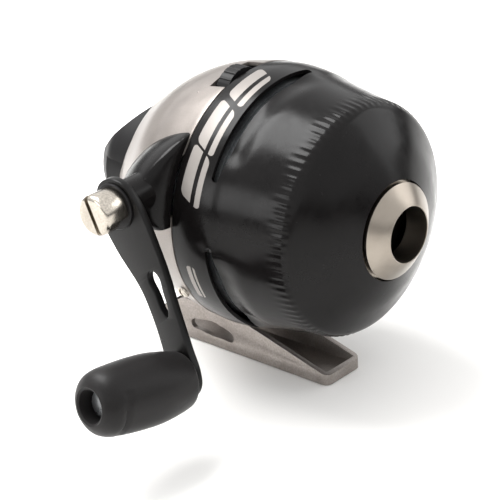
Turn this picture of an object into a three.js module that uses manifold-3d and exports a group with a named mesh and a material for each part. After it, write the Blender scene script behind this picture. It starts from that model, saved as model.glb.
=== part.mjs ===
// Spincast fishing reel. Millimetres. +X points to the nose, where the line leaves, +Y away from the
// crank, +Z up. The origin is the middle of the foot's underside. The spool line runs along X and the
// crank line along Y, above it.
import * as THREE from "three";
import { mergeVertices } from "three/addons/utils/BufferGeometryUtils.js";
import Module from "manifold-3d";

const wasm = await Module();
wasm.setup();

// ---- Driving dimensions -------------------------------------------------------------------------
const CRANK_RISE = 10.6; // crank line above the spool line
const RUN = 0.06; // radial clearance of a running fit
const PRESS = 0.03; // radial gap left at a pressed or glued joint

const COVER_R = 32.45; // both covers at their seam
const SEAM_X = 6.4; // seam between the front cover and the rear cover
const BAND_END_X = 16.8; // front edge of the wide band of the front cover
const SHOULDER_X = 39.2; // shoulder of the front cover
const SHOULDER_R = COVER_R - 4.55;
const NOSE_X = 48; // front edge of the front cover, round the line guide
const NOSE_R = 12.15;
const COVER_WALL = 0.9;
const REAR_X = -27; // rear opening of the rear cover
const REAR_R = 15.9;
// The rear cover's opening for the button, [x, z] from the spool line, from below upwards
const OPENING = [[-27.2, 1.4], [-23.8, 5.9], [-22.3, 9.6], [-21.3, 12.4], [-21, 16], [-21, 30]];
const SLOT_WIDTH = 1.8; // along the spool line

const GUIDE_HOLE_R = 6.8; // line hole
const GUIDE_TIP_X = 52;

const FOOT_LENGTH = 60;
const FOOT_WIDTH = 13.2;
const FOOT_WALL = 1.3;
const FOOT_TOE_H = 3.2;
const FOOT_TOP = 10.9;
const FOOT_GAP = 1.05; // between the foot's top and the covers
const SPOOL_LINE_Z = FOOT_TOP + FOOT_GAP + COVER_R; // spool line above the foot's underside
const FOOT_WEB = 1.8; // thickness of the raised web that takes the screws
const WEB_X = [-17.5, 5];
const FOOT_SCREW_X = [-13, -5];
const FOOT_SCREW_R = 1.5;
const FOOT_SCREW_HEAD_R = 2.6;

const PEDESTAL_X = [-16, 4];
const PEDESTAL_W = 8.8;

const DECK_X = 16.4; // rear face of the deck plate
const DECK_T = 2.4;
const RIM_R = COVER_R - 2.35; // outside of the frame's rim, inside the rear cover
const DECK_R = RIM_R - 0.5;
const HUB_R = 7.5;
const HUB_BORE_R = 4;
const HUB_FRONT_X = 30.6;

const SHAFT_R = 1.6;
const SHAFT_REAR_X = -20.3;
const TRAVEL = 4; // push of the thumb button

const GEAR_TEETH = 17;
const PINION_TEETH = 6;
const PINION_PITCH_R = 3.6;
const TOOTH_H = 1.8;
const TOOTH_FACE = 3.2; // length of the meshing teeth along the spool line
const GEAR_FACE_Y = 3.2; // tips of the drive gear's teeth

const CRANK_R = 2.4;
const CRANK_FAR_Y = 15.2;
const ARM_BACK_Y = -COVER_R - 9.05;
const ARM_T = 2;
const ARM_SWING = 30.8; // degrees, the arm's lean to the front
const ARM_REACH = 43.5;
const ARM_BEND = 20; // from the crank line to the bend
const ARM_TILT = 10.5; // degrees, outward below the bend
const ARM_TOP_R = 6.6;
const ARM_END_R = 4.6;
const NUT_R = 5;
const NUT_LENGTH = 6.8;
const KNOB_LENGTH = 27.6;
const KNOB_R = 8.5;
const KNOB_PIN_R = 2;

const BULGE_RADII = [21.1, 21.9, 13.3]; // crank side housing: long way, outwards, short way
const BULGE_MIDDLE = [3.8, 15.95 - COVER_R, CRANK_RISE - 1.4]; // follows the cover and the crank line
const BULGE_LEAN = 25; // degrees, its front end up
const BULGE_BOTTOM_Z = CRANK_RISE - 8.2;
const BULGE_ROUNDING = 7;
const BULGE_WALL = 1.4;

const BOSS_Y = [-COVER_R - 1.55, -16];
const BOSS_R = 4.6; // frame's boss round the crankshaft
const BUSH_WALL = 0.9;
const BRIDGE_X = [-12, -9]; // frame's rear support of the centre shaft

const SPOOL_REAR_X = 20.3;
const SPOOL_FRONT_X = 29.8;
const SPOOL_REAR_R = COVER_R - 6.25; // rear flange, which the drag shoe rubs on
const SPOOL_FLANGE_R = 23.5;
const SPOOL_DRUM_R = 13.5;
const FLANGE_T = 1.3;
const SPINNER_R = 25.4;
const SPINNER_WALL = 1.3;
const SPINNER_FRONT_X = 41.3;
const PICKUP_X = 32;
const PICKUP_R = 1;

const BUTTON_R = 16.9;
const BUTTON_FRONT_X = -20.6;
const BUTTON_END_X = -41;
const BUTTON_WALL = 1.8;
const SPRING_R = 2.6;
const SPRING_WIRE_R = 0.35;
const SPRING_TURNS = 5;

const DIAL_R = 6.5;
const DIAL_X = [2.2, 5.8];
const DIAL_Y = GEAR_FACE_Y - 0.2 - DIAL_R; // clear of the drive gear's teeth
const DIAL_PROUD = 1.4; // how far the drag dial stands out of the cover
const DRAG_SCREW_R = 1.5;

const RATCHET_TEETH = 8;
const RATCHET_R = 7;
const RATCHET_Y = [-14.2, -12.4];

const SMALL = 16; // facets of a pin or a bore
const MID = 24; // facets of a turned piece of middling size
const LARGE = 36; // facets of a wide turned piece
const FINE = 52; // facets of the covers

const deg = THREE.MathUtils.degToRad;

// ---- Materials ----------------------------------------------------------------------------------
const finish = (color, roughness, metalness) =>
  new THREE.MeshStandardMaterial({ color, roughness, metalness });
const blackGloss = finish(0x121314, 0.25, 0.1);
const satinSilver = finish(0xa09a96, 0.42, 0.8);
const nickel = finish(0xb9b2a6, 0.2, 1);
const satinNickel = finish(0x958f87, 0.35, 1);
const steel = finish(0x8d8f92, 0.3, 1);
const brass = finish(0xb08d4a, 0.35, 1);
const zinc = finish(0x7f8285, 0.5, 0.9);
const blackPlastic = finish(0x1c1c1e, 0.5, 0);
const softBlack = finish(0x2b2a2b, 0.75, 0);
const whiteAcetal = finish(0xdedbd2, 0.45, 0);

// ---- Solids, cuts and joins ---------------------------------------------------------------------
// A geometry as a closed solid with its faces turned outwards.
function solid(geometry) {
  const bare = geometry.clone();
  bare.deleteAttribute("normal");
  bare.deleteAttribute("uv");
  const merged = mergeVertices(bare, 1e-4);
  const index = merged.index.array;
  const triangles = [];
  for (let i = 0; i < index.length; i += 3) {
    const [a, b, c] = [index[i], index[i + 1], index[i + 2]];
    if (a !== b && b !== c && c !== a) triangles.push(a, b, c);
  }
  const make = (list) =>
    new wasm.Manifold(
      new wasm.Mesh({
        numProp: 3,
        vertProperties: new Float32Array(merged.attributes.position.array),
        triVerts: new Uint32Array(list),
      }),
    );
  const made = make(triangles);
  if (made.volume() > 0) return made;
  const turned = [];
  for (let i = 0; i < triangles.length; i += 3)
    turned.push(triangles[i], triangles[i + 2], triangles[i + 1]);
  return make(turned);
}

const join = (first, ...rest) => rest.reduce((a, b) => a.add(b), first);
const cut = (first, ...rest) => rest.reduce((a, b) => a.subtract(b), first);

// A solid as a geometry to draw.
function geometryOf(made) {
  const { numProp, numVert, vertProperties, triVerts } = made.getMesh();
  const places = new Float32Array(numVert * 3);
  for (let i = 0; i < numVert; i++)
    places.set(vertProperties.subarray(i * numProp, i * numProp + 3), i * 3);
  const geometry = new THREE.BufferGeometry();
  geometry.setAttribute("position", new THREE.BufferAttribute(places, 3));
  geometry.setIndex(new THREE.BufferAttribute(new Uint32Array(triVerts), 1));
  geometry.computeVertexNormals();
  return geometry;
}

// A piece: a named mesh of one solid, put in a group.
function piece(group, name, made, material) {
  const mesh = new THREE.Mesh(geometryOf(made), material);
  mesh.name = name;
  group.add(mesh);
  return mesh;
}

// ---- Shapes -------------------------------------------------------------------------------------
// Turned about X from points [x, radius].
function turnedX(points, facets = MID) {
  const outline = points.map(([x, r]) => new THREE.Vector2(r, x));
  return solid(new THREE.LatheGeometry(outline, facets).rotateZ(-Math.PI / 2));
}

// Turned about Y from points [y, radius].
function turnedY(points, facets = MID) {
  const outline = points.map(([y, r]) => new THREE.Vector2(r, y));
  return solid(new THREE.LatheGeometry(outline, facets));
}

const rodX = (x0, x1, r, facets = MID) =>
  turnedX([[x0, 0], [x0, r], [x1, r], [x1, 0]], facets);
const rodY = (y0, y1, r, facets = MID) =>
  turnedY([[y0, 0], [y0, r], [y1, r], [y1, 0]], facets);
const tubeX = (x0, x1, inner, outer, facets = MID) =>
  turnedX([[x0, inner], [x0, outer], [x1, outer], [x1, inner], [x0, inner]], facets);
const tubeY = (y0, y1, inner, outer, facets = MID) =>
  turnedY([[y0, inner], [y0, outer], [y1, outer], [y1, inner], [y0, inner]], facets);
const rodZ = (z0, z1, r, facets = SMALL) =>
  solid(
    new THREE.CylinderGeometry(r, r, z1 - z0, facets)
      .rotateX(Math.PI / 2)
      .translate(0, 0, (z0 + z1) / 2),
  );

const box = ([x0, x1], [y0, y1], [z0, z1]) =>
  solid(
    new THREE.BoxGeometry(x1 - x0, y1 - y0, z1 - z0).translate(
      (x0 + x1) / 2,
      (y0 + y1) / 2,
      (z0 + z1) / 2,
    ),
  );

// A flat outline in X and Z, given thickness from y0 to y1.
function plateY(shape, y0, y1, curveSegments = 10) {
  const settings = { depth: y1 - y0, bevelEnabled: false, curveSegments };
  const geometry = new THREE.ExtrudeGeometry(shape, settings);
  return solid(geometry.rotateX(Math.PI / 2).translate(0, y1, 0));
}

// A flat outline in Y and Z, given length from x0 to x1.
function barX(shape, x0, x1, curveSegments = 14) {
  const settings = { depth: x1 - x0, bevelEnabled: false, curveSegments };
  const turn = new THREE.Matrix4().makeBasis(
    new THREE.Vector3(0, 1, 0),
    new THREE.Vector3(0, 0, 1),
    new THREE.Vector3(1, 0, 0),
  );
  const geometry = new THREE.ExtrudeGeometry(shape, settings).applyMatrix4(turn);
  return solid(geometry.translate(x0, 0, 0));
}

const polygon = (points) => new THREE.Shape(points.map(([a, b]) => new THREE.Vector2(a, b)));

// A closed smooth outline through points [x, z].
function smoothShape(points, spacing) {
  const curve = new THREE.SplineCurve(
    [...points, points[0]].map(([x, z]) => new THREE.Vector2(x, z)),
  );
  return new THREE.Shape(curve.getPoints(points.length * spacing));
}

// Points of a smooth profile through [x, radius], ends included.
const smoothProfile = (points, count) =>
  new THREE.SplineCurve(points.map(([x, r]) => new THREE.Vector2(x, r)))
    .getPoints(count)
    .map((p) => [p.x, p.y]);

// A profile moved inwards by a wall, square to its surface.
function inset(points, wall) {
  return points.map(([x, r], i) => {
    const [xa, ra] = points[Math.max(i - 1, 0)];
    const [xb, rb] = points[Math.min(i + 1, points.length - 1)];
    const length = Math.hypot(xb - xa, rb - ra);
    return [x + (wall * (rb - ra)) / length, r - (wall * (xb - xa)) / length];
  });
}

// ---- Cover profiles, [x, radius] ----------------------------------------------------------------
const bandProfile = smoothProfile(
  [
    [SEAM_X, COVER_R],
    [SEAM_X + 5, COVER_R + 0.25],
    [BAND_END_X, COVER_R - 0.15],
  ],
  2,
);
const barrelProfile = smoothProfile(
  [
    [BAND_END_X + 1.2, COVER_R - 1.1],
    [SHOULDER_X - 12, SHOULDER_R + 2.1],
    [SHOULDER_X - 1.8, SHOULDER_R + 0.5],
  ],
  3,
);
const domeProfile = smoothProfile(
  [
    [SHOULDER_X + 0.4, SHOULDER_R - 0.9],
    [SHOULDER_X + 3, SHOULDER_R - 5],
    [NOSE_X - 3, NOSE_R + 6.4],
    [NOSE_X, NOSE_R],
  ],
  5,
);
const frontProfile = [...bandProfile, ...barrelProfile, ...domeProfile];
const rearProfile = smoothProfile(
  [
    [REAR_X, REAR_R],
    [-18, COVER_R - 9.75],
    [-13, COVER_R - 6.15],
    [-7, COVER_R - 3.15],
    [-1, COVER_R - 1.25],
    [SEAM_X - 0.1, COVER_R],
  ],
  8,
);

// Radius of a profile at a place along the spool line.
function radiusAt(profile, x) {
  for (let i = 1; i < profile.length; i++) {
    const [x0, r0] = profile[i - 1];
    const [x1, r1] = profile[i];
    if (x <= x1) return r0 + ((r1 - r0) * (x - x0)) / (x1 - x0);
  }
  return profile[profile.length - 1][1];
}

const rearCoreSolid = (gap) =>
  turnedX(
    [[REAR_X, 0], ...rearProfile.map(([x, r]) => [x, r + gap]), [SEAM_X - 0.1, 0]],
    FINE,
  );

const body = new THREE.Group();
const spoolLine = new THREE.Group();
spoolLine.position.set(0, 0, SPOOL_LINE_Z);
body.add(spoolLine);
const crankLine = new THREE.Group();
crankLine.position.set(0, 0, SPOOL_LINE_Z + CRANK_RISE);
body.add(crankLine);

// ---- Foot ---------------------------------------------------------------------------------------
// Pressed trough: a flat sole, two tapering side walls with a long window, and a raised web.
function footSideShape() {
  const half = FOOT_LENGTH / 2;
  return polygon([
    [-half, 0],
    [half, 0],
    [half, FOOT_TOE_H],
    [WEB_X[1], FOOT_TOP - 1.6],
    [WEB_X[1] - 6, FOOT_TOP],
    [WEB_X[0], FOOT_TOP],
    [-half, FOOT_TOE_H],
  ]);
}

function roundedRect(width, length, r) {
  const shape = new THREE.Shape();
  const [w, l] = [width / 2, length / 2];
  shape.moveTo(-l + r, -w);
  shape.lineTo(l - r, -w);
  shape.absarc(l - r, -w + r, r, -Math.PI / 2, 0);
  shape.absarc(l - r, w - r, r, 0, Math.PI / 2);
  shape.absarc(-l + r, w - r, r, Math.PI / 2, Math.PI);
  shape.absarc(-l + r, -w + r, r, Math.PI, 1.5 * Math.PI);
  return shape;
}

const prism = (shape, z0, z1) =>
  solid(
    new THREE.ExtrudeGeometry(shape, {
      depth: z1 - z0,
      bevelEnabled: false,
      curveSegments: 5,
    }).translate(0, 0, z0),
  );

const windowShape = () =>
  smoothShape(
    [[-15.2, 4.4], [-11, 6.4], [-5.5, 6.5], [-0.6, 3.6], [-5, 2.8], [-11, 3]],
    4,
  );

function foot() {
  const outer = prism(roundedRect(FOOT_WIDTH, FOOT_LENGTH, 2), 0, FOOT_TOP);
  const side = plateY(footSideShape(), -FOOT_WIDTH, FOOT_WIDTH);
  const trough = roundedRect(FOOT_WIDTH - 2 * FOOT_WALL, FOOT_LENGTH - 2 * FOOT_WALL, 1.2);
  const web = box(WEB_X, [-FOOT_WIDTH / 2 + 0.5, FOOT_WIDTH / 2 - 0.5], [
    FOOT_TOP - FOOT_WEB,
    FOOT_TOP,
  ]);
  const shell = cut(outer.intersect(side), prism(trough, 1.2, FOOT_TOP + 1));
  const holes = FOOT_SCREW_X.flatMap((x) => [
    rodZ(FOOT_TOP - FOOT_WEB - 1, FOOT_TOP + 1, FOOT_SCREW_R + 0.2).translate([x, 0, 0]),
    rodZ(-1, 3, FOOT_SCREW_HEAD_R + 0.6).translate([x, 0, 0]),
  ]);
  const windows = plateY(windowShape(), -FOOT_WIDTH, FOOT_WIDTH);
  return cut(join(shell, web.intersect(side)), windows, ...holes);
}

// A pan head screw standing on Z, head down, its head's seat at z = 0.
function panScrew(r, headR, headH, length) {
  const head = turnedX(
    [[-headH, 0], [-headH, headR * 0.7], [-headH * 0.6, headR * 0.95], [0, headR], [0, 0]],
    SMALL,
  );
  const shank = rodX(-0.2, length, r, SMALL);
  const driver = box([-headH - 1, -headH * 0.55], [-headR * 2, headR * 2], [-0.3, 0.3]);
  return cut(join(head, shank), driver).rotate([0, -90, 0]);
}

piece(body, "foot", foot(), satinSilver);
FOOT_SCREW_X.forEach((x, i) => {
  const screw = piece(
    body,
    ["foot_screw_rear", "foot_screw_front"][i],
    panScrew(FOOT_SCREW_R, FOOT_SCREW_HEAD_R, 1.6, 10),
    steel,
  );
  screw.position.set(x, 0, FOOT_TOP - FOOT_WEB - 0.05);
});

// ---- Covers -------------------------------------------------------------------------------------
// A curved slot in the front cover's step, between two angles about the spool line.
function slotCutter(from, to) {
  const shape = new THREE.Shape();
  shape.absarc(0, 0, COVER_R + 3, deg(180 - from), deg(180 - to), true);
  shape.absarc(0, 0, COVER_R - 5, deg(180 - to), deg(180 - from), false);
  return barX(shape, BAND_END_X - 0.4, BAND_END_X - 0.4 + SLOT_WIDTH);
}

// Slot ends in degrees about the spool line, from the crank side upwards.
const SLOTS = [
  [30, 102],
  [-57, -2],
  [182, 237],
];

function frontCover() {
  const inner = inset(frontProfile, COVER_WALL);
  const shell = turnedX([...frontProfile, ...inner.reverse(), frontProfile[0]], FINE);
  return cut(shell, ...SLOTS.map(([from, to]) => slotCutter(from, to)));
}

function lineGuideRing() {
  const hole = GUIDE_HOLE_R;
  return turnedX(
    [
      [NOSE_X + 0.6, NOSE_R - 0.35],
      [GUIDE_TIP_X - 0.5, hole + 0.9],
      [GUIDE_TIP_X, hole + 0.35],
      [GUIDE_TIP_X - 0.4, hole],
      [NOSE_X - 2.05, hole - 0.3],
      [NOSE_X - 2.05, NOSE_R + 0.7],
      [NOSE_X - 1.6, NOSE_R + 0.7],
      [NOSE_X - 1.5, NOSE_R - 0.9],
      [NOSE_X - 0.2, NOSE_R - 0.9],
      [NOSE_X + 0.2, NOSE_R - 0.35],
      [NOSE_X + 0.6, NOSE_R - 0.35],
    ],
    LARGE,
  );
}

// The crank side housing is part of an ellipsoid, long towards the front and tilted up. Its underside
// is flat, and its front end rounds down to the front cover's rear edge.
function bulge(wall) {
  const radii = BULGE_RADII.map((r) => r - wall);
  const whole = solid(
    new THREE.SphereGeometry(1, 40, 24)
      .scale(...radii)
      .rotateY(-deg(BULGE_LEAN))
      .translate(...BULGE_MIDDLE),
  );
  const limit = [];
  for (let angle = 90; angle >= 10; angle -= 16) {
    const x = SEAM_X - 0.1 - wall + BULGE_ROUNDING * (Math.cos(deg(angle)) - 1);
    limit.push([x, COVER_R + 0.3 - wall + BULGE_ROUNDING * Math.sin(deg(angle))]);
  }
  const [x0, r0] = limit[0];
  const [x1] = limit[limit.length - 1];
  const front = turnedX([[REAR_X, 0], [REAR_X, r0], [x0, r0], ...limit.slice(1), [x1, 0]], FINE);
  const below = box([-40, 40], [-60, 20], [-40, BULGE_BOTTOM_Z + wall]);
  return cut(whole.intersect(front), below);
}

function crankSideHousing() {
  const bossRoom = rodY(BOSS_Y[0] - 0.5, 0, BOSS_R + 0.4).translate([0, 0, CRANK_RISE]);
  const bore = rodY(-60, 0, CRANK_R + 1.5).translate([0, 0, CRANK_RISE]);
  return cut(bulge(0), rearCoreSolid(0.12), bulge(BULGE_WALL), bossRoom, bore);
}

const COVER_SCREW_X = 3.9;
const COVER_SCREW_ANGLE = 32; // degrees below the horizontal, on each side
const screwSeatR = radiusAt(rearProfile, COVER_SCREW_X);
const LUG_X = -2.4;

// Something made along Z, outwards at r, put at an angle about the spool line on one side.
const aroundSpool = (made, side) =>
  made.rotate([side * (90 + COVER_SCREW_ANGLE), 0, 0]).translate([COVER_SCREW_X, 0, 0]);

function rearCover() {
  const shell = turnedX(
    [...rearProfile, ...inset(rearProfile, COVER_WALL).reverse(), rearProfile[0]],
    FINE,
  );
  const dialWindow = box(
    [DIAL_X[0] - 0.8, SEAM_X + 1],
    [DIAL_Y - DIAL_R - 0.6, DIAL_Y + DIAL_R + 0.4],
    [COVER_R - 12.45, COVER_R + 7.55],
  );
  const pedestalWindow = box(
    [PEDESTAL_X[0] - 0.4, PEDESTAL_X[1] + 0.4],
    [-PEDESTAL_W / 2 - 0.4, PEDESTAL_W / 2 + 0.4],
    [-40, -15],
  );
  const screwHoles = [1, -1].map((side) => aroundSpool(rodZ(20, 40, 1.15), side));
  const bulgeRoom = bulge(BULGE_WALL + 1);
  const notch = join(bulgeRoom, bulgeRoom.translate([BULGE_WALL + 2, 0, 0]));
  const opening = plateY(polygon([[-40, 1.4], ...OPENING, [-40, 30]]), -30, 30);
  return cut(shell, notch, opening, dialWindow, pedestalWindow, ...screwHoles);
}

piece(spoolLine, "front_cover", frontCover(), blackGloss);
piece(spoolLine, "line_guide_ring", lineGuideRing(), satinNickel);
piece(spoolLine, "rear_cover", rearCover(), satinSilver);
piece(spoolLine, "crank_side_housing", crankSideHousing(), blackGloss);

// The two screws through the rear cover into the frame.
[
  ["cover_screw_crank_side", 1],
  ["cover_screw_far_side", -1],
].forEach(([name, side]) => {
  const screw = panScrew(0.9, 1.6, 0.9, 5).rotate([180, 0, 0]).translate([0, 0, screwSeatR + 0.25]);
  piece(spoolLine, name, aroundSpool(screw, side), nickel);
});

// ---- Body frame ---------------------------------------------------------------------------------
// One casting: deck plate, hub, rim, crank boss, far bearing, pedestal and rear bridge.
const DIAL_Z = Math.sqrt((radiusAt(rearProfile, DIAL_X[0]) + DIAL_PROUD) ** 2 - DIAL_Y ** 2) - DIAL_R;
const PAWL_X = 11.6;
const PAWL_Z = CRANK_RISE + 4.2;
const PAWL_PIN_R = 1.2;

function bodyFrame() {
  const deck = rodX(DECK_X, DECK_X + DECK_T, DECK_R, LARGE);
  const rim = tubeX(2.6, DECK_X + 0.5, RIM_R - 1.5, RIM_R, LARGE);
  const bead = tubeX(5.6, 9, RIM_R - 0.6, RIM_R + 1, LARGE);
  const hub = rodX(DECK_X, HUB_FRONT_X, HUB_R);
  const boss = rodY(BOSS_Y[0], BOSS_Y[1], BOSS_R).translate([0, 0, CRANK_RISE]);
  const web = box([0, DECK_X + 1], [-24, BOSS_Y[1]], [CRANK_RISE - 5.5, CRANK_RISE + 6.5]);
  const farBearing = box([-5.5, DECK_X + 1], [10.4, 15], [CRANK_RISE - 5.5, CRANK_RISE + 5.5]);
  const pedestalTop = box([PEDESTAL_X[0], DECK_X + 1], [-PEDESTAL_W / 2, PEDESTAL_W / 2], [-29.5, -23]);
  const pedestal = box(PEDESTAL_X, [-PEDESTAL_W / 2, PEDESTAL_W / 2], [
    FOOT_TOP + 0.1 - SPOOL_LINE_Z,
    -23,
  ]);
  const bridge = box(BRIDGE_X, [-2.8, 2.8], [-24, 3.4]);
  const lugR = radiusAt(rearProfile, LUG_X) - COVER_WALL - 0.3;
  const screwLugs = [1, -1].map((side) =>
    aroundSpool(box([LUG_X - COVER_SCREW_X, DECK_X], [-2.8, 2.8], [24, lugR]), side),
  );
  const casting = join(
    deck,
    rim,
    bead,
    hub,
    boss,
    web,
    farBearing,
    pedestalTop,
    pedestal,
    bridge,
    ...screwLugs,
  );
  const bores = [
    rodX(DECK_X - 5, HUB_FRONT_X + 1, HUB_BORE_R + PRESS),
    rodX(-30, 0, SHAFT_R + RUN, SMALL),
    rodY(BOSS_Y[0] - 1, BOSS_Y[1] + 1, CRANK_R + BUSH_WALL + PRESS).translate([0, 0, CRANK_RISE]),
    rodY(8, 20, CRANK_R + RUN).translate([0, 0, CRANK_RISE]),
    rodX(0, 30, DRAG_SCREW_R + RUN, SMALL).translate([0, DIAL_Y, DIAL_Z]),
    rodX(DIAL_X[0] - 1, DIAL_X[1] + 1, DIAL_R + 0.6, MID).translate([0, DIAL_Y, DIAL_Z]),
    rodY(BOSS_Y[1] - 5, 0, PAWL_PIN_R + PRESS, SMALL).translate([PAWL_X, 0, PAWL_Z]),
    ...FOOT_SCREW_X.map((x) => rodZ(-40, -24.4, FOOT_SCREW_R + PRESS).translate([x, 0, 0])),
    ...[1, -1].map((side) => aroundSpool(rodZ(20, 40, 0.9 + PRESS), side)),
  ];
  return cut(casting, ...bores);
}
piece(spoolLine, "body_frame", bodyFrame(), zinc);

// ---- Bushings -----------------------------------------------------------------------------------
const SLEEVE_R = 2.7; // outside of the pinion's sleeve
const bushingX = (x0, x1) => tubeX(x0, x1, SLEEVE_R + RUN, HUB_BORE_R);
piece(spoolLine, "hub_bushing_rear", bushingX(DECK_X, DECK_X + 4.4), brass);
piece(spoolLine, "hub_bushing_front", bushingX(HUB_FRONT_X - 4.4, HUB_FRONT_X), brass);
piece(
  crankLine,
  "crank_bushing",
  tubeY(BOSS_Y[0] + 0.2, BOSS_Y[0] + 12, CRANK_R + RUN, CRANK_R + BUSH_WALL),
  brass,
);

// ---- Pinion, shaft and spinner head -------------------------------------------------------------
const GEAR_RATIO = GEAR_TEETH / PINION_TEETH;
const MESH_X = PINION_PITCH_R * GEAR_RATIO; // middle of the meshing teeth
const TIP_R = PINION_PITCH_R + 1.1;

function pinionGear() {
  const [x0, x1] = [MESH_X - TOOTH_FACE / 2 - 0.4, MESH_X + TOOTH_FACE / 2 + 0.3];
  const core = rodX(x0, x1, 2.6);
  const sleeve = rodX(x1 - 0.2, HUB_FRONT_X + 0.6, SLEEVE_R);
  const tooth = barX(polygon([[-0.75, 2.2], [0.75, 2.2], [0.38, TIP_R], [-0.38, TIP_R]]), x0, x1);
  const teeth = [];
  for (let i = 0; i < PINION_TEETH; i++)
    teeth.push(tooth.rotate([((i + 0.5) * 360) / PINION_TEETH - 90, 0, 0]));
  return cut(join(core, sleeve, ...teeth), rodX(-30, 60, SHAFT_R + RUN, SMALL));
}

function centerShaft() {
  const rod = rodX(SHAFT_REAR_X, SPINNER_FRONT_X + 2.6, SHAFT_R, SMALL);
  const collarX = MESH_X - TOOTH_FACE / 2 - 0.4 - TRAVEL - 0.4; // clear of the pinion when pushed
  const collar = rodX(collarX - 1.6, collarX, 2.4, SMALL);
  return join(rod, collar);
}

const spinnerProfile = [
  [SPINNER_FRONT_X - 14, SPINNER_R],
  [SPINNER_FRONT_X - 7.4, SPINNER_R],
  [SPINNER_FRONT_X - 6.4, SPINNER_R - 0.7],
  [SPINNER_FRONT_X - 4.3, SPINNER_R - 4],
  [SPINNER_FRONT_X - 2.4, SPINNER_R - 7.6],
  [SPINNER_FRONT_X - 0.8, SPINNER_R - 11.2],
  [SPINNER_FRONT_X, SPINNER_R - 14.4],
];

function spinnerHead() {
  const innerWall = spinnerProfile
    .slice(1, -1)
    .map(([x, r]) => [x - SPINNER_WALL, r - 0.8])
    .reverse();
  const cup = turnedX(
    [
      ...spinnerProfile,
      [SPINNER_FRONT_X, 0],
      [SPINNER_FRONT_X - SPINNER_WALL - 0.8, 0],
      ...innerWall,
      [spinnerProfile[0][0], SPINNER_R - SPINNER_WALL],
      spinnerProfile[0],
    ],
    LARGE,
  );
  const boss = rodX(HUB_FRONT_X + 1.4, SPINNER_FRONT_X - 1, 4.2);
  const pin = rodZ(0, 40, PICKUP_R + RUN).translate([PICKUP_X, 0, 0]);
  const guide = box([PICKUP_X - 2, PICKUP_X + 2.2], [-2, 2], [19.5, SPINNER_R - 0.6]);
  return cut(join(cup, boss, guide), pin, rodX(0, 60, SHAFT_R + PRESS, SMALL));
}

function hexNut(x0, x1, across, bore) {
  const hex = new THREE.CylinderGeometry(across / Math.sqrt(3), across / Math.sqrt(3), x1 - x0, 6);
  const made = solid(hex.rotateZ(Math.PI / 2).translate((x0 + x1) / 2, 0, 0));
  return cut(made, rodX(x0 - 1, x1 + 1, bore, SMALL));
}

piece(spoolLine, "pinion_gear", pinionGear(), brass);
piece(spoolLine, "center_shaft", centerShaft(), steel);
piece(spoolLine, "spinner_head", spinnerHead(), satinNickel);
piece(
  spoolLine,
  "spinner_nut",
  hexNut(SPINNER_FRONT_X + 0.05, SPINNER_FRONT_X + 2.1, 5.5, SHAFT_R + PRESS),
  steel,
);
piece(
  spoolLine,
  "pickup_pin",
  rodZ(20.2, SPINNER_R + 1.2, PICKUP_R).translate([PICKUP_X, 0, 0]),
  steel,
);

// ---- Spool --------------------------------------------------------------------------------------
function spool() {
  const [a, b] = [SPOOL_REAR_X, SPOOL_FRONT_X];
  const bore = HUB_R + RUN;
  return turnedX(
    [
      [a, bore],
      [a, SPOOL_REAR_R - 0.3],
      [a + 0.3, SPOOL_REAR_R],
      [a + FLANGE_T, SPOOL_REAR_R],
      [a + FLANGE_T + 0.2, SPOOL_DRUM_R],
      [b - FLANGE_T - 0.2, SPOOL_DRUM_R],
      [b - FLANGE_T, SPOOL_FLANGE_R],
      [b - 0.3, SPOOL_FLANGE_R],
      [b, SPOOL_FLANGE_R - 0.3],
      [b, bore],
      [a, bore],
    ],
    LARGE,
  );
}
piece(spoolLine, "spool", spool(), satinNickel);
piece(
  spoolLine,
  "spool_clip",
  tubeX(SPOOL_FRONT_X + 0.15, SPOOL_FRONT_X + 0.65, HUB_R + PRESS, HUB_R + 1.8),
  steel,
);
piece(
  spoolLine,
  "drag_washer",
  tubeX(DECK_X + DECK_T + 0.05, SPOOL_REAR_X - 0.1, HUB_R + 0.1, 12.5),
  softBlack,
);

// ---- Drag dial and its screw --------------------------------------------------------------------
function dragDial() {
  const wheel = rodX(DIAL_X[0], DIAL_X[1], DIAL_R, 48);
  const notches = [];
  const count = 20;
  for (let i = 0; i < count; i++)
    notches.push(
      rodX(DIAL_X[0] - 1, DIAL_X[1] + 1, 0.3, 6)
        .translate([0, 0, DIAL_R + 0.1])
        .rotate([((i + 0.5) * 360) / count, 0, 0]),
    );
  return cut(wheel, rodX(0, 6, DRAG_SCREW_R + PRESS, SMALL), ...notches);
}
const dialLine = new THREE.Group();
dialLine.position.set(0, DIAL_Y, DIAL_Z);
spoolLine.add(dialLine);
piece(dialLine, "drag_dial", dragDial(), blackPlastic);
piece(dialLine, "drag_screw", rodX(0.2, DECK_X + DECK_T + 0.1, DRAG_SCREW_R, SMALL), steel);
piece(
  dialLine,
  "drag_shoe",
  rodX(DECK_X + DECK_T + 0.25, SPOOL_REAR_X - 0.1, 2.4, SMALL),
  softBlack,
);

// ---- Thumb button -------------------------------------------------------------------------------
// A cap with a sloping thumb pad, a stem that pushes the shaft, and a return spring. Above
// BUTTON_STEP_Z the cap is wider, to fill the rear cover's opening.
const buttonProfile = [
  [BUTTON_FRONT_X, BUTTON_R],
  [BUTTON_FRONT_X - 3.4, BUTTON_R - 0.3],
  [BUTTON_FRONT_X - 7.4, BUTTON_R - 0.8],
  [BUTTON_END_X + 9, BUTTON_R - 1.5],
  [BUTTON_END_X + 6, BUTTON_R - 3.6],
  [BUTTON_END_X + 3.5, BUTTON_R - 5.7],
  [BUTTON_END_X + 1.6, BUTTON_R - 9.6],
  [BUTTON_END_X + 0.5, BUTTON_R - 13.4],
  [BUTTON_END_X, BUTTON_R - 15.6],
];
const PAD_SLOPE = 46.6; // degrees
const PAD_TOP_Z = 21.8; // height of the pad's plane over the opening's front edge
const BUTTON_STEP_Z = 5;

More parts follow.
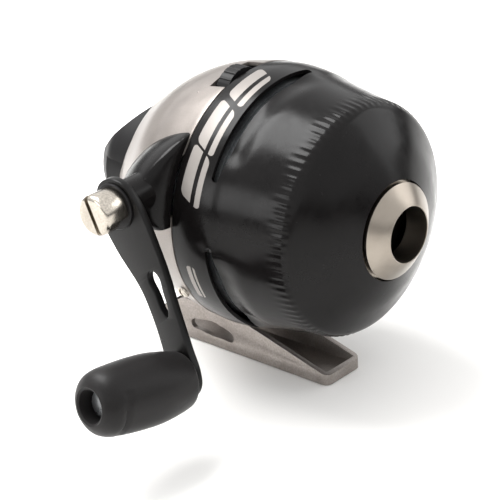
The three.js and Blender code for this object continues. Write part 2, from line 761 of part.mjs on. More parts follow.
// Everything above the thumb pad, moved inwards by a wall.
const abovePad = (wall) =>
  box([-60, 40], [-20, 20], [0, 40])
    .rotate([0, -PAD_SLOPE, 0])
    .translate([BUTTON_FRONT_X - 0.4, 0, PAD_TOP_Z - wall]);

// The cap's outside moved in by a wall, no wider than a radius.
function buttonBody(wall, widest, facets = LARGE) {
  const points = buttonProfile.map(([x, r]) => [x + wall, Math.min(r, widest) - wall]);
  const end = buttonProfile[buttonProfile.length - 1][0] + wall;
  const inside = points.filter(([, r]) => r > 0);
  return turnedX([[BUTTON_FRONT_X + wall, 0], ...inside, [end, 0]], facets);
}

function thumbButton() {
  const narrow = REAR_R - COVER_WALL - 0.4;
  const upper = cut(buttonBody(0, BUTTON_R), box([-60, 0], [-30, 30], [-30, BUTTON_STEP_Z]));
  const cap = join(upper, buttonBody(0, narrow));
  const mouth = rodX(BUTTON_FRONT_X - 1, BUTTON_FRONT_X + BUTTON_WALL + 0.1, narrow - BUTTON_WALL, LARGE);
  const hollow = cut(join(buttonBody(BUTTON_WALL, narrow), mouth), abovePad(BUTTON_WALL * 1.6));
  const shell = cut(cap, abovePad(0), hollow);
  const stem = rodX(BUTTON_END_X + 4, SHAFT_REAR_X - 0.2, 3.2, SMALL);
  return join(shell, stem);
}

class Coil extends THREE.Curve {
  constructor(x0, x1, radius, turns) {
    super();
    Object.assign(this, { x0, x1, radius, turns });
  }
  getPoint(t, target = new THREE.Vector3()) {
    const angle = t * this.turns * 2 * Math.PI;
    const x = this.x0 + (this.x1 - this.x0) * t;
    return target.set(x, this.radius * Math.cos(angle), this.radius * Math.sin(angle));
  }
}

function ringShape(r, sides) {
  const points = [];
  for (let i = 0; i < sides; i++) {
    const angle = (2 * Math.PI * i) / sides;
    points.push(new THREE.Vector2(r * Math.cos(angle), r * Math.sin(angle)));
  }
  return new THREE.Shape(points);
}

function coilSpring(x0, x1, radius, wireR, turns) {
  return solid(
    new THREE.ExtrudeGeometry(ringShape(wireR, 6), {
      steps: turns * 12,
      bevelEnabled: false,
      extrudePath: new Coil(x0 + wireR, x1 - wireR, radius, turns),
    }),
  );
}
const springEnds = [SHAFT_REAR_X - 0.1, BRIDGE_X[0] - 0.1];
piece(spoolLine, "thumb_button", thumbButton(), blackPlastic);
piece(
  spoolLine,
  "button_spring",
  coilSpring(springEnds[0], springEnds[1], SPRING_R, SPRING_WIRE_R, SPRING_TURNS),
  steel,
);

// ---- Crank line ---------------------------------------------------------------------------------
const ARM_FACE_Y = ARM_BACK_Y - ARM_T;
const SQUARE = 3.3;
const STUD_R = 1.6;
const GEAR_ROOT_Y = GEAR_FACE_Y + TOOTH_H;
const GEAR_DISC_T = 2.6;

function crankshaft() {
  const main = rodY(ARM_BACK_Y, CRANK_FAR_Y, CRANK_R);
  const neck = rodY(CRANK_FAR_Y - 0.1, CRANK_FAR_Y + 1.3, 2.2);
  const cap = rodY(CRANK_FAR_Y + 1.2, CRANK_FAR_Y + 2, 2.8);
  const square = box(
    [-SQUARE / 2, SQUARE / 2],
    [ARM_FACE_Y + 0.1, ARM_BACK_Y + 0.2],
    [-SQUARE / 2, SQUARE / 2],
  );
  const stud = rodY(ARM_FACE_Y - NUT_LENGTH + 1.2, ARM_FACE_Y + 0.2, STUD_R, SMALL);
  return join(main, neck, cap, square.rotate([0, -ARM_SWING, 0]), stud);
}

// Crown gear: its teeth stand on a disc and run along the spool line where they mesh.
function driveGear() {
  const outer = Math.hypot(MESH_X + TOOTH_FACE / 2, CRANK_RISE) + 0.3;
  const disc = rodY(GEAR_ROOT_Y, GEAR_ROOT_Y + GEAR_DISC_T, outer, 68);
  const hub = rodY(GEAR_ROOT_Y, GEAR_ROOT_Y + GEAR_DISC_T + 2.4, 4.6);
  const root = GEAR_ROOT_Y + 0.3;
  const tooth = barX(
    polygon([[root, -0.7], [root, 0.7], [GEAR_FACE_Y, 0.42], [GEAR_FACE_Y, -0.42]]),
    MESH_X - TOOTH_FACE / 2,
    MESH_X + TOOTH_FACE / 2,
  ).translate([0, 0, -CRANK_RISE]);
  const teeth = [];
  for (let i = 0; i < GEAR_TEETH; i++) teeth.push(tooth.rotate([0, (i * 360) / GEAR_TEETH, 0]));
  const lightening = [];
  for (let i = 0; i < 5; i++)
    lightening.push(rodY(0, 12, 2.2, 16).translate([8.8, 0, 0]).rotate([0, i * 72, 0]));
  return cut(join(disc, hub, ...teeth), rodY(0, 20, CRANK_R + PRESS), ...lightening);
}

function ratchetWheel() {
  const shape = new THREE.Shape();
  for (let i = 0; i < RATCHET_TEETH; i++) {
    const a = (i * 2 * Math.PI) / RATCHET_TEETH;
    const step = (2 * Math.PI) / RATCHET_TEETH;
    const corner = (r, angle) => [r * Math.cos(angle), r * Math.sin(angle)];
    if (i === 0) shape.moveTo(...corner(RATCHET_R, a));
    else shape.lineTo(...corner(RATCHET_R, a));
    shape.lineTo(...corner(RATCHET_R - 2, a + step * 0.12));
    shape.lineTo(...corner(RATCHET_R - 1.2, a + step * 0.6));
  }
  shape.closePath();
  return cut(plateY(shape, ...RATCHET_Y), rodY(-20, 0, CRANK_R + PRESS));
}

// A spacer tube on the crankshaft.
const spacer = (y0, y1) => tubeY(y0, y1, CRANK_R + PRESS, CRANK_R + 1);

// The arm's outline, in the arm's own frame: it hangs along -Z from the crank line, front at +X.
function armOutline() {
  const down = (share) => -ARM_REACH * share;
  const shape = new THREE.Shape();
  shape.absarc(0, 0, ARM_TOP_R, Math.PI, 0, true);
  shape.bezierCurveTo(7.2, down(0.12), 6.2, down(0.3), 5, down(0.48));
  shape.bezierCurveTo(4.5, down(0.65), ARM_END_R, down(0.8), ARM_END_R, down(1));
  shape.absarc(0, down(1), ARM_END_R, 0, Math.PI, true);
  shape.bezierCurveTo(-ARM_END_R, down(0.85), -3.6, down(0.72), -4.2, down(0.58));
  shape.bezierCurveTo(-5.6, down(0.4), -8.4, down(0.2), -ARM_TOP_R, 0);
  return shape;
}

const armWindow = () =>
  smoothShape(
    [[-1.2, 18.3], [0.7, 16.9], [2.6, 18.2], [2.5, 23], [2, 28], [1, 29.2], [0, 28.2], [-0.9, 23]].map(
      ([x, down]) => [x, -down],
    ),
    3,
  );

// The arm is cut across at the bend, and its lower part turned outwards about that line.
function crankArm() {
  const blank = cut(
    plateY(armOutline(), 0, ARM_T, 8),
    plateY(armWindow(), -1, ARM_T + 1),
  );
  const upperHalf = box([-20, 20], [-5, 5], [-ARM_BEND, 20]);
  const lowerHalf = box([-20, 20], [-5, 5], [-80, -ARM_BEND + 0.25]);
  const lower = blank
    .intersect(lowerHalf)
    .translate([0, -ARM_T / 2, ARM_BEND])
    .rotate([-ARM_TILT, 0, 0])
    .translate([0, ARM_T / 2, -ARM_BEND]);
  const hole = box([-SQUARE / 2 - 0.05, SQUARE / 2 + 0.05], [-5, 5], [
    -SQUARE / 2 - 0.05,
    SQUARE / 2 + 0.05,
  ]);
  const pinHole = rodY(-10, 10, KNOB_PIN_R + PRESS, SMALL)
    .translate([0, 0, ARM_BEND - ARM_REACH])
    .translate([0, -ARM_T / 2, 0])
    .rotate([-ARM_TILT, 0, 0])
    .translate([0, ARM_T / 2, -ARM_BEND]);
  return cut(join(blank.intersect(upperHalf), lower), hole, pinHole).translate([0, ARM_FACE_Y, 0]);
}

function crankNut() {
  const y0 = ARM_FACE_Y - 0.85;
  const face = ARM_FACE_Y - NUT_LENGTH - 0.8;
  const blank = turnedY(
    [
      [face, 0],
      [face, NUT_R - 0.5],
      [face + 0.5, NUT_R],
      [y0, NUT_R],
      [y0, STUD_R + PRESS],
      [ARM_FACE_Y - NUT_LENGTH + 1, STUD_R + PRESS],
      [ARM_FACE_Y - NUT_LENGTH + 1, 0],
    ],
    LARGE,
  );
  const driver = box([-0.65, 0.65], [face - 1, face + 1.2], [-10, 10]);
  const notch = box([3.9, 8], [y0 - 2.2, y0 + 1], [-3.2, 3.2]).rotate([0, 50, 0]);
  return cut(blank, driver.rotate([0, -24, 0]), notch);
}

piece(crankLine, "crankshaft", crankshaft(), steel);
piece(crankLine, "drive_gear", driveGear(), zinc);
piece(crankLine, "ratchet_wheel", ratchetWheel(), steel);
piece(crankLine, "ratchet_spacer", spacer(RATCHET_Y[1] + 0.1, GEAR_ROOT_Y - 0.1), whiteAcetal);
piece(crankLine, "arm_spacer", spacer(ARM_BACK_Y + 0.15, BOSS_Y[0] - 0.1), nickel);
piece(crankLine, "crankshaft_clip", tubeY(CRANK_FAR_Y + 0.15, CRANK_FAR_Y + 1, 2.25, 4.4, SMALL), steel);
piece(
  crankLine,
  "arm_washer",
  tubeY(ARM_FACE_Y - 0.75, ARM_FACE_Y - 0.05, STUD_R + 1.2, NUT_R + 0.7),
  nickel,
);
piece(crankLine, "crank_nut", crankNut(), nickel);

const armGroup = new THREE.Group();
armGroup.rotation.y = -deg(ARM_SWING);
crankLine.add(armGroup);
piece(armGroup, "crank_arm", crankArm(), blackGloss);

// ---- Knob, in the frame of the arm's lower part --------------------------------------------------
const bend = new THREE.Group();
bend.position.set(0, ARM_FACE_Y + ARM_T / 2, -ARM_BEND);
bend.rotation.x = -deg(ARM_TILT);
armGroup.add(bend);
const knobLine = new THREE.Group();
knobLine.position.set(0, 0, ARM_BEND - ARM_REACH);
bend.add(knobLine);

const KNOB_START_Y = -ARM_T / 2 - 0.6;
const knobEnd = KNOB_START_Y - KNOB_LENGTH;
const RECESS_R = 3.9;

function knob() {
  const along = (share) => KNOB_START_Y - KNOB_LENGTH * share;
  const outer = smoothProfile(
    [
      [along(0.02), 6.9],
      [along(0.17), 7.8],
      [along(0.34), KNOB_R - 0.05],
      [along(0.52), KNOB_R],
      [along(0.68), KNOB_R - 0.15],
      [along(0.85), KNOB_R - 0.5],
      [along(0.95), KNOB_R - 1.5],
      [along(1), KNOB_R - 3.2],
    ],
    16,
  );
  return turnedY(
    [
      [KNOB_START_Y, KNOB_PIN_R + RUN],
      [KNOB_START_Y, 6.4],
      ...outer,
      [knobEnd, RECESS_R],
      [knobEnd + 5, RECESS_R - 0.3],
      [knobEnd + 5, KNOB_PIN_R + RUN],
      [KNOB_START_Y, KNOB_PIN_R + RUN],
    ],
    MID,
  );
}

function knobPin() {
  const rod = rodY(knobEnd + 4.2, ARM_T / 2 + 0.2, KNOB_PIN_R, SMALL);
  const head = rodY(knobEnd + 3.2, knobEnd + 4.4, RECESS_R - 0.9, SMALL);
  const rivet = turnedY(
    [[ARM_T / 2 + 0.1, 0], [ARM_T / 2 + 0.1, 3], [ARM_T / 2 + 0.8, 2.4], [ARM_T / 2 + 1, 0]],
    SMALL,
  );
  return join(rod, head, rivet);
}
piece(knobLine, "knob", knob(), softBlack);
piece(knobLine, "knob_pin", knobPin(), steel);

// ---- Anti-reverse pawl --------------------------------------------------------------------------
const pawlLine = new THREE.Group();
pawlLine.position.set(PAWL_X, 0, PAWL_Z);
spoolLine.add(pawlLine);

function pawl() {
  const shape = smoothShape([[2.4, 0], [0, -2.2], [-4, -1.4], [-4.6, -0.7], [-2.5, 0.9], [0, 2.3]], 3);
  return cut(plateY(shape, ...RATCHET_Y), rodY(-20, 0, PAWL_PIN_R + RUN, SMALL));
}
piece(pawlLine, "anti_reverse_pawl", pawl(), steel);
piece(pawlLine, "pawl_pin", rodY(BOSS_Y[1] - 4, RATCHET_Y[1] + 0.6, PAWL_PIN_R, SMALL), steel);

export default body;
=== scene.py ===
# Spincast fishing reel: a closed front cover with its line guide, a silver rear cover with a thumb
# button and a drag dial, a cranked handle with a knob, and a foot that fits a rod's reel seat.
# Metres; +X is the nose, -Y the crank side, +Z up. Sizes are written in millimetres times MM.
import math

import bpy
from mathutils import Matrix, Vector


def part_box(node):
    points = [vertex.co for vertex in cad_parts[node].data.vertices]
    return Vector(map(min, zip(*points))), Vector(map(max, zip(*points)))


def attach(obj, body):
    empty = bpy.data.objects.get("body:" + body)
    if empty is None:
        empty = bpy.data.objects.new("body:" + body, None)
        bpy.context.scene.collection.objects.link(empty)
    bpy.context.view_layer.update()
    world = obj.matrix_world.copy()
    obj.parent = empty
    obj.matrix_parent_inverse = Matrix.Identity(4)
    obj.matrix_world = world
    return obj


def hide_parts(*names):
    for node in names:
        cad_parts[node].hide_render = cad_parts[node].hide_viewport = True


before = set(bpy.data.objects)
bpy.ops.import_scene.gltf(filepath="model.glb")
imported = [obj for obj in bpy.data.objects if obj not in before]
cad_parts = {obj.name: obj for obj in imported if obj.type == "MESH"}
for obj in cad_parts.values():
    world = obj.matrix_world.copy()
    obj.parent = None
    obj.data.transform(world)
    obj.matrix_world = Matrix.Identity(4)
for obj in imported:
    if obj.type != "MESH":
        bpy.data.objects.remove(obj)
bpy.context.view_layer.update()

MM = 0.001

# ---- Die-cast frame, and the pieces bolted inside ------------------------------------------------
# One zinc casting carries everything. It is left as it came from the die: a dull grey skin with a
# fine grain. Bushings are turned brass, shafts and small hardware turned or stamped steel.


def linear(code):
    """An sRGB hex colour as linear red, green and blue, with alpha."""
    shares = [int(code[i:i + 2], 16) / 255 for i in (0, 2, 4)]
    return [s / 12.92 if s <= 0.04045 else ((s + 0.055) / 1.055) ** 2.4 for s in shares] + [1]


def add(tree, kind, feeds=None, **settings):
    """Adds one node. Feeds sets its inputs, each from another node's output or from a constant."""
    made = tree.nodes.new("ShaderNode" + kind)
    for setting, value in settings.items():
        setattr(made, setting, value)
    for socket, source in (feeds or {}).items():
        if isinstance(source, bpy.types.NodeSocket):
            tree.links.new(source, made.inputs[socket])
        else:
            made.inputs[socket].default_value = source
    return made


def blank(name, metallic, roughness, **sockets):
    """A material with only its shader, and that shader's constants."""
    material = bpy.data.materials.new(name)
    material.use_nodes = True
    tree = material.node_tree
    shader = tree.nodes["Principled BSDF"]
    shader.inputs["Metallic"].default_value = metallic
    shader.inputs["Roughness"].default_value = roughness
    for socket, value in sockets.items():
        shader.inputs[socket.replace("_", " ")].default_value = value
    return material, tree, shader


def grained(name, dark, light, metallic, roughness, grain_mm, bump_mm, stretch=(1, 1, 1), **sockets):
    """A finish whose colour, gloss and height vary over a grain of that size."""
    material, tree, shader = blank(name, metallic, roughness, **sockets)
    place = add(tree, "TexCoord")
    stretched = add(tree, "Mapping", {"Vector": place.outputs["Object"], "Scale": stretch})
    grain = add(tree, "TexNoise", {
        "Vector": stretched.outputs[0], "Scale": 1 / (grain_mm * MM), "Detail": 3, "Roughness": 0.55})
    cloud = add(tree, "TexNoise", {
        "Vector": place.outputs["Object"], "Scale": 1 / (9 * MM), "Detail": 2})
    mixed = add(tree, "Math", {0: grain.outputs["Fac"], 1: cloud.outputs["Fac"]}, operation="MULTIPLY")
    shade = add(tree, "MapRange", {
        "Value": mixed.outputs[0], "From Min": 0.12, "From Max": 0.42})
    colour = add(tree, "Mix", {
        "Factor": shade.outputs[0], "A": linear(dark), "B": linear(light)}, data_type="RGBA")
    gloss = add(tree, "MapRange", {
        "Value": cloud.outputs["Fac"], "From Min": 0.3, "From Max": 0.7,
        "To Min": roughness * 0.88, "To Max": roughness * 1.12})
    height = add(tree, "Bump", {
        "Height": grain.outputs["Fac"], "Strength": 1, "Distance": bump_mm * MM})
    tree.links.new(colour.outputs["Result"], shader.inputs["Base Color"])
    tree.links.new(gloss.outputs[0], shader.inputs["Roughness"])
    tree.links.new(height.outputs[0], shader.inputs["Normal"])
    return material


def coat(node, material):
    """A CAD node keeps its shape and takes a material."""
    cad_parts[node].data.materials.clear()
    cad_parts[node].data.materials.append(material)


# As-cast zinc: a dull, faintly mottled grey skin.
cast_zinc = grained("as_cast_zinc", "5E6062", "85888A", 0.85, 0.5, 0.5, 0.012)
# Turned steel: bright, with fine rings left by the tool.
turned_steel = grained("turned_steel", "7D7F82", "A9ABAD", 1, 0.28, 0.25, 0.002, (1, 5, 5))
# Machined brass: warm yellow, slightly dulled.
machined_brass = grained("machined_brass", "8E6D35", "BE9A55", 1, 0.3, 0.3, 0.003, (1, 4, 4))
# Natural acetal: a waxy white moulding.
natural_acetal = grained("natural_acetal", "CFCBC0", "E6E3DA", 0, 0.42, 0.4, 0.002, IOR=1.48)
# Pressed felt: matt black fibres.
pressed_felt = grained("pressed_felt", "141414", "2C2C2C", 0, 0.95, 0.3, 0.06, IOR=1.45)
for zinc_node in ("body_frame", "drive_gear"):
    coat(zinc_node, cast_zinc)
for brass_node in ("hub_bushing_rear", "hub_bushing_front", "crank_bushing", "pinion_gear"):
    coat(brass_node, machined_brass)
for steel_node in ("center_shaft", "spinner_nut", "pickup_pin", "spool_clip", "crankshaft", "drag_screw",
                   "ratchet_wheel", "crankshaft_clip", "anti_reverse_pawl", "pawl_pin",
                   "foot_screw_rear", "foot_screw_front", "button_spring", "knob_pin"):
    coat(steel_node, turned_steel)
coat("ratchet_spacer", natural_acetal)
for felt_node in ("drag_washer", "drag_shoe"):
    coat(felt_node, pressed_felt)

# ---- Spool and spinner head ----------------------------------------------------------------------
# The spool is turned and the spinner head pressed, both satin nickel plated. Only the middle of the
# spinner head can be seen, dark, through the line guide.
satin_plate = grained("satin_nickel_plate", "6F6A63", "8F8981", 1, 0.34, 0.3, 0.003, (1, 3, 3))
for plated_node in ("spool", "spinner_head"):
    coat(plated_node, satin_plate)

# ---- Rear cover ----------------------------------------------------------------------------------
# A deep drawn dome in satin silver paint, open at the back for the thumb button, at the top for the
# drag dial, at the bottom for the frame's pedestal, and on the crank side for the crank's housing.
SPOOL_LINE = 44.4
SEAM_X = 6.4
COVER_R = 32.45
REAR_SHAPE = [(-27, 15.9), (-22.4, 19.6), (-18, 22.7), (-13, 26.3), (-7, 29.3), (-1, 31.2), (6.3, 32.4)]
COVER_WALL = 0.9
COVER_FACETS = 144
# The opening for the thumb button, in X and Z from the spool line, and its run-out behind the cover
OPENING = [
    (-27.2, 1.4), (-23.8, 5.9), (-22.3, 9.6), (-21.3, 12.4), (-21, 16), (-21, 30), (-40, 30), (-40, 1.4)]
PEDESTAL_X = (-16.4, 4.4)  # the window for the frame's pedestal
PEDESTAL_HALF_W = 4.8
PIPS = [(0.2, 71), (-0.4, 66)]  # two small raised pips: place along the spool line, and angle
PIP_R = 0.55
PIP_SEAT_R = 30.9
REAR_ROUNDING = 0.2


def only(piece):
    """Selects one piece and nothing else."""
    bpy.ops.object.select_all(action="DESELECT")
    piece.select_set(True)
    bpy.context.view_layer.objects.active = piece


def smooth(points, steps):
    """Points on a smooth line through the given ones, with so many steps between each two."""
    run = [Vector(p) for p in (points[0], *points, points[-1])]
    line = []
    for a, b, c, d in zip(run, run[1:], run[2:], run[3:]):
        for step in range(steps):
            t = step / steps
            bow = (2 * a - 5 * b + 4 * c - d) * t * t + (3 * b - a - 3 * c + d) * t ** 3
            line.append(tuple(b + ((c - a) * t + bow) / 2))
    return [*line, tuple(points[-1])]


def walled(profile, wall):
    """A profile and, coming back, the same one moved in by a wall, so that it closes on itself."""
    inner = []
    for i, (x, r) in enumerate(profile):
        before, after = profile[max(i - 1, 0)], profile[min(i + 1, len(profile) - 1)]
        way = (Vector(after) - Vector(before)).normalized()
        inner.append((x + wall * way.y, r - wall * way.x))
    return [*profile, *inner[::-1], profile[0]]


def turned(name, profile, facets, axis="X", line=(0, 0, SPOOL_LINE)):
    """Turns a profile of (along, radius) about an axis through line: a ring of edges is extruded and
    resized from point to point. Ends that stay open are closed with a face."""
    way = Vector((1, 0, 0)) if axis == "X" else Vector((0, 1, 0))
    tilt = (0, math.pi / 2, 0) if axis == "X" else (math.pi / 2, 0, 0)
    along, radius = profile[0]
    bpy.ops.object.select_all(action="DESELECT")
    bpy.ops.mesh.primitive_circle_add(
        vertices=facets, radius=radius * MM, location=(Vector(line) + way * along) * MM, rotation=tilt)
    piece = bpy.context.object
    piece.name = piece.data.name = name
    bpy.ops.object.mode_set(mode="EDIT")
    bpy.ops.mesh.select_mode(type="VERT")
    bpy.ops.mesh.select_all(action="SELECT")
    for (x0, r0), (x1, r1) in zip(profile, profile[1:]):
        bpy.ops.mesh.extrude_region_move(TRANSFORM_OT_translate={"value": way * (x1 - x0) * MM})
        share = r1 / r0
        bpy.ops.transform.resize(
            value=[1 if w else share for w in way],
            center_override=(Vector(line) + way * x1) * MM)
    bpy.ops.mesh.select_all(action="SELECT")
    bpy.ops.mesh.remove_doubles(threshold=0.001 * MM)
    bpy.ops.mesh.select_all(action="DESELECT")
    bpy.ops.mesh.select_non_manifold()
    bpy.ops.mesh.fill_holes(sides=0)
    bpy.ops.mesh.select_all(action="SELECT")
    bpy.ops.mesh.normals_make_consistent(inside=False)
    bpy.ops.object.mode_set(mode="OBJECT")
    bpy.ops.object.transform_apply(location=True, rotation=True, scale=True)
    return piece


def block(name, low, high):
    """A block between two corners, to be shaped or to cut with."""
    low, high = Vector(low) * MM, Vector(high) * MM
    bpy.ops.object.select_all(action="DESELECT")
    bpy.ops.mesh.primitive_cube_add(size=1, location=(low + high) / 2)
    piece = bpy.context.object
    piece.name = piece.data.name = name
    piece.scale = high - low
    bpy.ops.object.transform_apply(location=True, rotation=True, scale=True)
    return piece


def apply(piece, modifier):
    """Makes a modifier's result the piece's own mesh."""
    only(piece)
    bpy.ops.object.modifier_apply(modifier=modifier.name)


def carve(piece, tool, operation="DIFFERENCE"):
    """Cuts a tool out of a piece, or keeps what they share, and puts the tool away."""
    cut = piece.modifiers.new("cut", "BOOLEAN")
    cut.operation = operation
    cut.solver = "EXACT"
    cut.object = tool
    apply(piece, cut)
    bpy.data.objects.remove(tool)


def round_edges(piece, width, segments=3, sharper_than=32):
    """Rounds every edge that is sharper than so many degrees, by a width in mm."""
    rounding = piece.modifiers.new("round", "BEVEL")
    rounding.width = width * MM
    rounding.segments = segments
    rounding.limit_method = "ANGLE"
    rounding.angle_limit = math.radians(sharper_than)
    rounding.use_clamp_overlap = True
    apply(piece, rounding)


def smooth_shaded(piece, angle=35):
    """Shades a piece smooth, but for edges sharper than so many degrees."""
    only(piece)
    bpy.ops.object.shade_smooth_by_angle(angle=math.radians(angle))


def outlined(name, loops, half_thickness, rounding, steps=5, resolution=8, sharp=False):
    """A flat plate in X and Z, from closed outlines, smooth or sharp, the first outside and the rest
    holes. It is centred on y = 0, and its rounding stands outside the outlines."""
    drawing = bpy.data.curves.new(name, "CURVE")
    drawing.dimensions = "2D"
    drawing.fill_mode = "BOTH"
    drawing.extrude = half_thickness * MM
    drawing.bevel_depth = rounding * MM
    drawing.bevel_resolution = steps
    drawing.resolution_u = resolution
    for loop in loops:
        spline = drawing.splines.new("BEZIER")
        spline.bezier_points.add(len(loop) - 1)
        spline.use_cyclic_u = True
        for point, (x, z) in zip(spline.bezier_points, loop):
            point.co = (x * MM, z * MM, 0)
            point.handle_left_type = point.handle_right_type = "VECTOR" if sharp else "AUTO"
    piece = bpy.data.objects.new(name, drawing)
    bpy.context.scene.collection.objects.link(piece)
    only(piece)
    piece.rotation_euler = (math.pi / 2, 0, 0)
    bpy.ops.object.convert(target="MESH")
    bpy.ops.object.transform_apply(location=True, rotation=True, scale=True)
    bpy.ops.object.mode_set(mode="EDIT")
    bpy.ops.mesh.select_all(action="SELECT")
    bpy.ops.mesh.remove_doubles(threshold=0.001 * MM)
    bpy.ops.mesh.normals_make_consistent(inside=False)
    bpy.ops.object.mode_set(mode="OBJECT")
    return piece


def moved(piece, x, y, z):
    """Moves a piece by so many mm."""
    only(piece)
    piece.location = Vector((x, y, z)) * MM
    bpy.ops.object.transform_apply(location=True, rotation=True, scale=True)
    return piece


rear_cover = turned("rear_cover_shell", walled(smooth(REAR_SHAPE, 4), COVER_WALL), COVER_FACETS)
dial_low, dial_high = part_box("drag_dial")
carve(rear_cover, block(
    "dial_window",
    (dial_low.x / MM - 0.8, dial_low.y / MM - 0.6, 60),
    (SEAM_X + 1, dial_high.y / MM + 0.4, 90)))
carve(rear_cover, block(
    "pedestal_window",
    (PEDESTAL_X[0], -PEDESTAL_HALF_W, 5),
    (PEDESTAL_X[1], PEDESTAL_HALF_W, 26)))
opening = outlined("button_opening", [OPENING], 30, 0, sharp=True)
carve(rear_cover, moved(opening, 0, 0, SPOOL_LINE))
for pip_x, pip_angle in PIPS:
    pip_turn = math.radians(pip_angle)
    bpy.ops.object.select_all(action="DESELECT")
    bpy.ops.mesh.primitive_uv_sphere_add(segments=20, ring_count=12, radius=PIP_R * MM, location=(
        pip_x * MM,
        -PIP_SEAT_R * MM * math.cos(pip_turn),
        (SPOOL_LINE + PIP_SEAT_R * math.sin(pip_turn)) * MM))
    bpy.ops.object.transform_apply(location=True, rotation=True, scale=True)
    carve(rear_cover, bpy.context.object, "UNION")
round_edges(rear_cover, REAR_ROUNDING)
smooth_shaded(rear_cover)
# Satin silver paint over drawn steel: fine bright flake in a warm grey.
satin_silver = grained(
    "satin_silver_paint", "7D7671", "968F8A", 0.6, 0.36, 0.16, 0.001, Coat_Weight=0.25)
rear_cover.data.materials.append(satin_silver)
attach(rear_cover, "reel_body")
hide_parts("rear_cover")

# ---- Crank side housing --------------------------------------------------------------------------
# A black moulded bulge over the crank's bearing, let into a notch in the rear cover. It is part of an
# ellipsoid, tilted up at the front, with a flat underside and a front end that rounds down.
BULGE_RADII = (21.1, 21.9, 13.3)
BULGE_MIDDLE = (3.8, -16.5, SPOOL_LINE + 9.2)
BULGE_LEAN = 25
BULGE_BOTTOM = SPOOL_LINE + 2.4
BULGE_ROUNDING = 7
BULGE_WALL = 1.4
BULGE_GRAIN = 0.5  # size of the even mesh that its edges are softened on
BULGE_SOFTENING = 24
NOTCH_GAP = 1  # between the housing's room and the notch in the rear cover
SEAT_GAP = 0.12
COLLAR_SHAPE = [(-30, 5), (-40.4, 4.9), (-41, 4.4)]
SHAFT_HOLE_R = 3.9


def bulge(name, wall):
    """The bulge, moved in by a wall all over."""
    bpy.ops.object.select_all(action="DESELECT")
    bpy.ops.mesh.primitive_uv_sphere_add(segments=128, ring_count=64, radius=MM)
    whole = bpy.context.object
    whole.name = whole.data.name = name
    whole.scale = [r - wall for r in BULGE_RADII]
    whole.rotation_euler = (0, -math.radians(BULGE_LEAN), 0)
    whole.location = Vector(BULGE_MIDDLE) * MM
    bpy.ops.object.transform_apply(location=True, rotation=True, scale=True)
    nose = []
    for step in range(13):
        turn = math.radians(8 + step * 82 / 12)
        nose.append((SEAM_X - 0.12 - wall + BULGE_ROUNDING * (math.cos(turn) - 1),
                     COVER_R + 0.2 - wall + BULGE_ROUNDING * math.sin(turn)))
    limit = [(-30, 0.01), (nose[0][0], 0.01), *nose, (-30, nose[-1][1])]
    carve(whole, turned("rounding", [*limit, limit[0]], COVER_FACETS), "INTERSECT")
    even = whole.modifiers.new("even", "REMESH")
    even.mode = "VOXEL"
    even.voxel_size = BULGE_GRAIN * MM
    apply(whole, even)
    soften = whole.modifiers.new("soften", "SMOOTH")
    soften.factor = 0.5
    soften.iterations = BULGE_SOFTENING
    apply(whole, soften)
    carve(whole, block("underside", (-40, -60, -10), (40, 20, BULGE_BOTTOM + wall)))
    return whole


housing = bulge("crank_housing", 0)
seat_shape = [(x, r + SEAT_GAP) for x, r in smooth(REAR_SHAPE, 4)]
carve(housing, turned("dome_seat", seat_shape, COVER_FACETS))
carve(housing, bulge("room", BULGE_WALL))
shaft_low, shaft_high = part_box("crankshaft")
crank_line = (shaft_low.z + shaft_high.z) / 2 / MM
carve(housing, turned("collar", COLLAR_SHAPE, 64, "Y", (0, 0, crank_line)), "UNION")
bore_shape = [(-60, SHAFT_HOLE_R), (-20, SHAFT_HOLE_R)]
carve(housing, turned("housing_bore", bore_shape, 48, "Y", (0, 0, crank_line)))
smooth_shaded(housing, 30)
carve(rear_cover, bulge("bulge_room", BULGE_WALL + NOTCH_GAP))
carve(rear_cover, moved(bulge("bulge_notch", BULGE_WALL + NOTCH_GAP), BULGE_WALL + 2, 0, 0))


def gloss_moulding(name, marks=None):
    """Gloss black ABS, off a polished tool: near black, with a faint orange peel and hair scratches.
    Marks are printed on it in silver, from a function that gives their mask."""
    material, tree, shader = blank(name, 0, 0.2, IOR=1.24)
    place = add(tree, "TexCoord").outputs["Object"]
    peel = add(tree, "TexNoise", {"Vector": place, "Scale": 1 / (1.6 * MM), "Detail": 1})
    scratch = add(tree, "TexNoise", {
        "Vector": place, "Scale": 1 / (4 * MM), "Detail": 4, "Roughness": 0.7})
    worn = add(tree, "MapRange", {
        "Value": scratch.outputs["Fac"], "From Min": 0.35, "From Max": 0.75,
        "To Min": 0.17, "To Max": 0.29})
    tone = add(tree, "Mix", {
        "Factor": scratch.outputs["Fac"], "A": linear("0B0A0A"), "B": linear("131111")}, data_type="RGBA")
    height = add(tree, "Bump", {"Height": peel.outputs["Fac"], "Strength": 1, "Distance": 0.004 * MM})
    colour, gloss = tone.outputs["Result"], worn.outputs[0]
    if marks:
        mask = marks(tree, place)
        colour = add(tree, "Mix", {
            "Factor": mask, "A": colour, "B": linear("8F8A86")}, data_type="RGBA").outputs["Result"]
        gloss = add(tree, "Mix", {"Factor": mask, "A": gloss, "B": 0.42}).outputs["Result"]
        silver = add(tree, "Math", {0: mask, 1: 0.35}, operation="MULTIPLY")
        tree.links.new(silver.outputs[0], shader.inputs["Metallic"])
    tree.links.new(colour, shader.inputs["Base Color"])
    tree.links.new(gloss, shader.inputs["Roughness"])
    tree.links.new(height.outputs[0], shader.inputs["Normal"])
    return material


gloss_black = gloss_moulding("gloss_black_moulding")
housing.data.materials.append(gloss_black)
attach(housing, "reel_body")
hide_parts("crank_side_housing")

